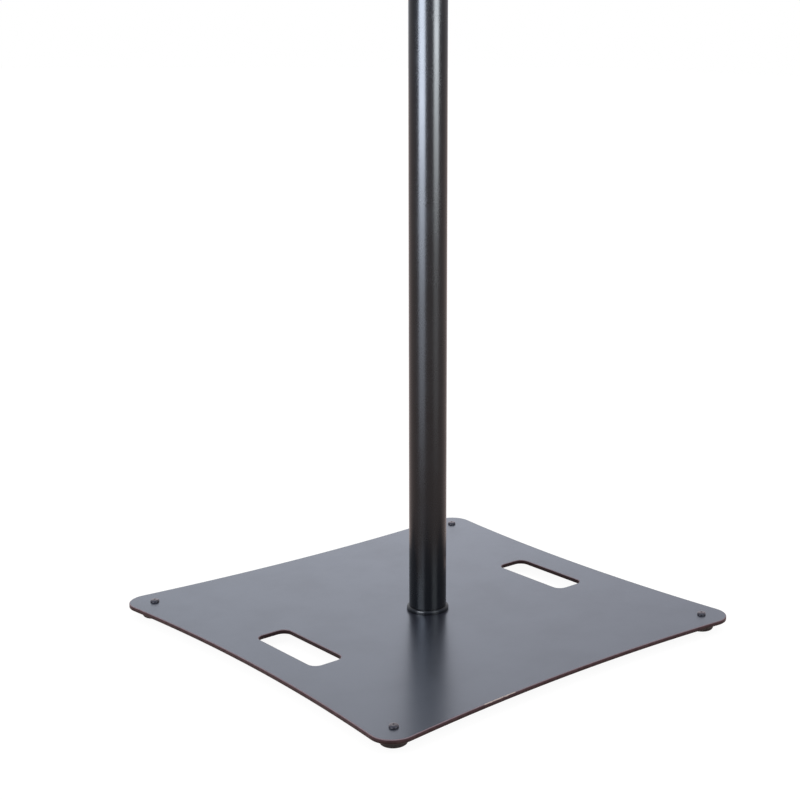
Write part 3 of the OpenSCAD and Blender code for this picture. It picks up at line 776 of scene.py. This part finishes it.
finish_piece("set_screws", set_screws(), "base", "black_screw",
             ["collar_set_screws"], FINISHES["black_screw"])
finish_piece("inner_tube", tube(UPPER_R, UPPER_WALL, UPPER_LOW, UPPER_TOP), "mast", "tube_coat",
             ["upper_tube"], FINISHES["tube_coat"])
finish_piece("socket", head_socket(), "mast", "cast_coat", ["head_socket"], FINISHES["cast_coat"])
finish_piece("blind_rivets", rivets(), "mast", "zinc_steel", ["head_rivets"], FINISHES["zinc_steel"])
for name, body, screw_z, back, hub in (
        ("collar", "collar_handle", COLLAR_SCREW_Z, SHOE_BACK, COLLAR_HUB),
        ("head", "head_handle", HEAD_SCREW_Z, PAD_BACK, HEAD_HUB)):
    finish_piece(name + "_star_knob", lobed_knob(screw_z, hub), body, "knob_plastic",
                 [name + "_knob"], FINISHES["knob_plastic"])
    finish_piece(name + "_threaded_stud", threaded_stud(screw_z, back, hub + STUD_EMBED), body,
                 "zinc_steel", [name + "_stud"], FINISHES["zinc_steel"])

# The nodes that keep their CAD shape get the finish of their slot
for row in frame["record"]["subparts"]:
    node = frame["nodes"][row["node"]]
    node.data.materials.clear()
    node.data.materials.append(FINISHES[row["material_slot"]])


# Studio

# Tones of the backdrop in reflections, and where they blend: along the camera's direction, which is
# -1 behind the camera and 1 on the far side, and to its right
CAMERA_SIDE = (0.58, 0.70, 0.94, 1)
FAR_LEFT = (0.92, 0.95, 1.03, 1)
FAR_MIDDLE = (1.07, 1.08, 1.16, 1)
FAR_RIGHT = (0.72, 0.72, 0.79, 1)
DEPTH_BLEND, LEFT_BLEND, RIGHT_BLEND = (-0.4, 0.5), (-0.35, -0.08), (-0.08, 0.20)
WORLD_LIGHT = 0.6
FLOOR_REACH, FLOOR_WHITE, FLOOR_SHADE = 25.0, 0.93, 0.16
FLOOR_IN_GLOSS = (0.95, 0.76, 0.73, 1)
CAMERA_AT = Vector((-1296.7, -1593.6, 803.4)) * MM
CAMERA_FORWARD = Vector((0.68525, 0.69849, -0.20627))
CAMERA_RIGHT = Vector((0.71658, -0.69723, 0.01952))
CAMERA_FOCUS, CAMERA_SENSOR = 70.26, 36.0
SHIFT_X, SHIFT_Y = -0.2125, -0.0475
CLIP_NEAR, CLIP_FAR = 0.05, 60

# Places of lights: degrees beside the camera's direction, metres from the axis, lowest and highest
# point and width in metres. The reflectors of the tubes fade downwards in three steps.
TUBE_LEFT, TUBE_RIGHT = [
    [(side, 1.0, low, high, width) for low, high in steps] for side, width, steps in (
        (35.5, 0.675, ((0.58, 1.9), (0.37, 0.58), (0.03, 0.37))),
        (-49.5, 0.525, ((0.70, 1.9), (0.48, 0.70), (0.03, 0.48))))]
WIDE_LEFT, WIDE_RIGHT = (42, 2.0, 0.36, 2.2, 1.35), (-43, 2.0, 0.5, 2.2, 1.05)
LAMP_LEFT, LAMP_RIGHT = (50, 2.2, 1.2, 2.6, 1.4), (-60, 2.2, 1.2, 2.6, 1.4)
TUBE_TINTS = (0.76, 0.85, 1.0), (0.88, 0.95, 1.0)
OTHER_TINTS = (0.86, 0.92, 1.0), (0.94, 0.99, 1.0)
LAMP_TINT = (1, 1, 1)

# Each pair of reflectors: the group it shows on, then place and radiance on the left and the right
REFLECTORS = (
    ("upright", TUBE_LEFT[0], 39, TUBE_RIGHT[0], 31),
    ("upright", TUBE_LEFT[1], 16, TUBE_RIGHT[1], 13),
    ("upright", TUBE_LEFT[2], 4.6, TUBE_RIGHT[2], 1.4),
    ("flat", WIDE_LEFT, 8, WIDE_RIGHT, 6),
    ("ring", WIDE_LEFT, 14, WIDE_RIGHT, 5),
    ("fittings", WIDE_LEFT, 4, WIDE_RIGHT, 3))

# Pieces that aren't named here are fittings, and the screw heads get no reflector at all
GROUP_OF = {"outer_tube": "upright", "inner_tube": "upright", "plate": "flat", "floor": "flat",
            "foot_ring": "ring"}
OUTSIDE_GROUPS = "pan_head_screws"


def floor():
    """Pale floor that is white to the camera and to reflections, and keeps a faint shadow."""
    bm = bmesh.new()
    bmesh.ops.create_grid(bm, x_segments=1, y_segments=1, size=FLOOR_REACH)
    mesh = bpy.data.meshes.new("floor")
    bm.to_mesh(mesh)
    bm.free()
    ground = bpy.data.objects.new("floor", mesh)
    bpy.context.scene.collection.objects.link(ground)
    paper = Finish("floor_paper", Base_Color=(0.80, 0.75, 0.73, 1), Roughness=0.9)
    to_camera, glossy = paper.ray_is("Camera"), paper.ray_is("Glossy")
    shine = paper.mix(glossy, WHITE, FLOOR_IN_GLOSS)
    white = paper.node("ShaderNodeEmission", {}, {"Color": shine, "Strength": FLOOR_WHITE})
    shaded = paper.node("ShaderNodeBsdfDiffuse", {}, {"Color": grey(FLOOR_SHADE)})
    seen = paper.node("ShaderNodeAddShader", {}, {0: white, 1: shaded})
    lit = Value(paper, paper.shader.outputs[0])
    surface = paper.node("ShaderNodeMixShader", {}, {0: to_camera + glossy, 1: lit, 2: seen})
    paper.feed(paper.tree.nodes["Material Output"].inputs["Surface"], surface)
    mesh.materials.append(paper.material)
    ground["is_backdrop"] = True


def backdrop():
    """White to the camera, and a plain light on the rest.

    Reflections see three pale tones on the far side, and a dimmer, bluish one behind the camera.
    """
    world = bpy.data.worlds.new("backdrop")
    bpy.context.scene.world = world
    world.use_nodes = True
    paint = NodeMaker(world.node_tree)
    behind = world.node_tree.nodes["Background"]
    glossy = paint.ray_is("Glossy")
    direction = paint.node("ShaderNodeTexCoord", output="Generated")
    dot = {"operation": "DOT_PRODUCT"}
    facing, aside = (
        paint.node("ShaderNodeVectorMath", dot, {0: direction, 1: axis}, "Value")
        for axis in (CAMERA_FORWARD, CAMERA_RIGHT))
    far_left = paint.mix(paint.band(aside, *LEFT_BLEND), FAR_LEFT, FAR_MIDDLE)
    far_side = paint.mix(paint.band(aside, *RIGHT_BLEND), far_left, FAR_RIGHT)
    mirrored = paint.mix(paint.band(facing, *DEPTH_BLEND), CAMERA_SIDE, far_side)
    paint.feed(behind.inputs["Color"], paint.mix(glossy, WHITE, mirrored))
    seen = paint.ray_is("Camera") + glossy + paint.ray_is("Transmission")
    level = paint.node("ShaderNodeMapRange", {}, {"Value": seen, "To Min": WORLD_LIGHT, "To Max": 1.0})
    paint.feed(behind.inputs["Strength"], level)


def camera():
    """The photograph's view, fitted to the plate's outline, slots, screws and tube."""
    data = bpy.data.cameras.new("camera")
    data.sensor_width, data.lens = CAMERA_SENSOR, CAMERA_FOCUS
    data.shift_x, data.shift_y = SHIFT_X, SHIFT_Y
    data.clip_start, data.clip_end = CLIP_NEAR, CLIP_FAR
    eye = bpy.data.objects.new("camera", data)
    bpy.context.scene.collection.objects.link(eye)
    back = -CAMERA_FORWARD.normalized()
    up = back.cross(CAMERA_RIGHT).normalized()
    right = up.cross(back)
    eye.matrix_world = Matrix.Translation(CAMERA_AT) @ Matrix((right, up, back)).transposed().to_4x4()
    bpy.context.scene.camera = eye


def soft_box(name, placed, radiance, colour, only=None):
    """A lamp beside the camera's direction that faces the tube, as bright as this many times white."""
    side, distance, low, high, width = placed
    data = bpy.data.lights.new(name, "AREA")
    data.shape, data.size, data.size_y = "RECTANGLE", width, high - low
    data.energy, data.color = radiance * math.pi * width * (high - low), colour
    lamp = bpy.data.objects.new(name, data)
    bpy.context.scene.collection.objects.link(lamp)
    to_camera = Vector((CAMERA_AT.x, CAMERA_AT.y, 0)).normalized()
    towards = Matrix.Rotation(-math.radians(side), 4, "Z") @ to_camera
    facing = (-towards).to_track_quat("-Z", "Y").to_matrix().to_4x4()
    middle = Vector((0, 0, (low + high) / 2))
    lamp.matrix_world = Matrix.Translation(towards * distance + middle) @ facing
    lamp.visible_camera = False
    lamp.light_linking.receiver_collection = only
    return lamp


def reflector(name, placed, radiance, colour, only):
    """A soft box that only shows in reflections, as the stripes on the tube, and on one group."""
    soft_box(name, placed, radiance, colour, only).visible_diffuse = False


bpy.context.scene.view_settings.view_transform = "Standard"
floor()
backdrop()
camera()
groups = {name: bpy.data.collections.new(name) for name in ("upright", "flat", "ring", "fittings")}
for piece in bpy.context.scene.objects:
    if piece.type == "MESH" and piece.name != OUTSIDE_GROUPS:
        groups[GROUP_OF.get(piece.name, "fittings")].objects.link(piece)
for group, left, left_radiance, right, right_radiance in REFLECTORS:
    left_tint, right_tint = TUBE_TINTS if group == "upright" else OTHER_TINTS
    reflector("left_reflector_" + group, left, left_radiance, left_tint, groups[group])
    reflector("right_reflector_" + group, right, right_radiance, right_tint, groups[group])
for name, placed, radiance in (("left_lamp", LAMP_LEFT, 2.4), ("right_lamp", LAMP_RIGHT, 1.6)):
    soft_box(name, placed, radiance, LAMP_TINT).visible_glossy = False

low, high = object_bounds()
